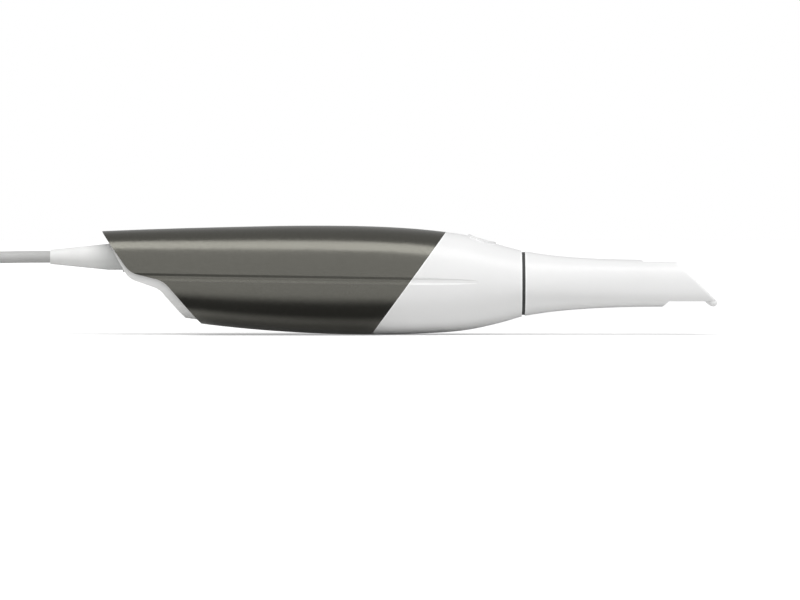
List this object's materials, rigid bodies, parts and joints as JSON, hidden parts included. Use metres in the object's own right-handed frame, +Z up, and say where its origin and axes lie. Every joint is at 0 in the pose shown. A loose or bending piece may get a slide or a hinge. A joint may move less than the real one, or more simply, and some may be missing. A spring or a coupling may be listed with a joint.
{
  "type": "intraoral scanner",
  "caption": "Pen-grip intraoral scanner: metallic sleeve, white nose with scan button, pull-off tip with mirror and scan window, belt-driven focus optics, cable with tied hank.",
  "frame": {"origin": "under the middle of the scanner without its cable, level with its belly", "axes": "+X towards the scanning tip, +Z up through the scan button, the picture sees the -Y flank"},
  "size_m": [0.4771, 0.051, 0.0449],
  "materials": {
    "sleeve_metal": "warm graphite metallic lacquer, satin",
    "white_shell": "satin white",
    "cap_plastic": "satin off-white",
    "button_plastic": "satin white",
    "relief_rubber": "matt light grey",
    "ring_rubber": "matt black",
    "snout_metal": "black anodised",
    "window_glass": "coated, polished",
    "tip_mirror": "front silvered",
    "chassis_aluminium": "machined, anodised",
    "barrel_aluminium": "black anodised",
    "lens_glass": "coated, polished",
    "ground_steel": "ground",
    "weight_brass": "turned",
    "belt_rubber": "matt",
    "circuit_board": "solder mask",
    "chip_black": "moulded",
    "lamp_face": "phosphor",
    "cable_grey": "matt light grey",
    "tie_fabric": "woven hook tape",
    "plug_plastic": "moulded light grey",
    "plug_metal": "nickel plated",
    "tongue_plastic": "moulded"
  },
  "bodies": {
    "handle": {"grip_sleeve": "sleeve_metal", "nose_shell": "white_shell", "button_board": "circuit_board", "button_switch": "chip_black", "rear_cap": "cap_plastic", "strain_relief": "relief_rubber", "seam_ring": "ring_rubber", "snout_tube": "snout_metal", "front_window": "window_glass", "optics_chassis": "chassis_aluminium", "flange_screws": "ground_steel", "objective_barrel": "barrel_aluminium", "objective_front_lens": "lens_glass", "objective_rear_lens": "lens_glass", "guide_rods": "ground_steel", "weight_rod": "ground_steel", "idler_pin": "ground_steel", "drive_motor": "ground_steel", "drive_belt": "belt_rubber", "splitter_housing": "barrel_aluminium", "beam_splitter": "lens_glass", "sensor_board": "circuit_board", "image_sensor": "chip_black", "condenser_lens": "lens_glass", "pattern_slide": "lens_glass", "led_emitter": "lamp_face", "led_board": "circuit_board", "led_heatsink": "chassis_aluminium", "main_board": "circuit_board", "processor": "chip_black", "cable_socket": "tongue_plastic", "inner_lead": "cable_grey", "cable_lead": "cable_grey", "cable_tail": "cable_grey", "cable_hank": "cable_grey", "cable_tie": "tie_fabric", "plug_grip": "plug_plastic", "plug_shell": "plug_metal", "plug_tongue": "tongue_plastic"},
    "tip": {"tip_shell": "white_shell", "tip_mirror": "tip_mirror"},
    "button": {"scan_button": "button_plastic"},
    "carriage": {"focus_carriage": "barrel_aluminium", "focus_lens": "lens_glass"},
    "counterweight": {"focus_counterweight": "weight_brass"},
    "drive_wheel": {"drive_pulley": "chassis_aluminium"},
    "idler_wheel": {"idler_pulley": "chassis_aluminium"}
  },
  "joints": [
    {"name": "tip_pull", "type": "slide", "parent": "handle", "child": "tip", "axis": [1, 0, 0], "range_m": [0, 0.06]},
    {"name": "button_press", "type": "slide", "parent": "handle", "child": "button", "axis": [-0.2756, 0, -0.9613], "range_m": [0, 0.0006], "stiffness_N_per_m": 400},
    {"name": "focus_slide", "type": "slide", "parent": "handle", "child": "carriage", "axis": [1, 0, 0], "range_m": [-0.0015, 0.0015]},
    {"name": "counterweight_slide", "type": "slide", "parent": "handle", "child": "counterweight", "axis": [1, 0, 0], "range_m": [-0.0015, 0.0015]},
    {"name": "drive_spin", "type": "hinge", "parent": "handle", "child": "drive_wheel", "pos_m": [-0.048, 0, 0.00825], "axis": [0, 0, 1], "range_deg": [-16, 16]},
    {"name": "idler_spin", "type": "hinge", "parent": "handle", "child": "idler_wheel", "pos_m": [0.01, 0, 0.00825], "axis": [0, 0, 1], "range_deg": [-16, 16]}
  ],
  "couplings": [
    {"joint": "counterweight_slide", "follows": "focus_slide", "ratio": -1},
    {"joint": "drive_spin", "follows": "focus_slide", "rad_per_m": -183.49},
    {"joint": "idler_spin", "follows": "focus_slide", "rad_per_m": -183.49}
  ]
}
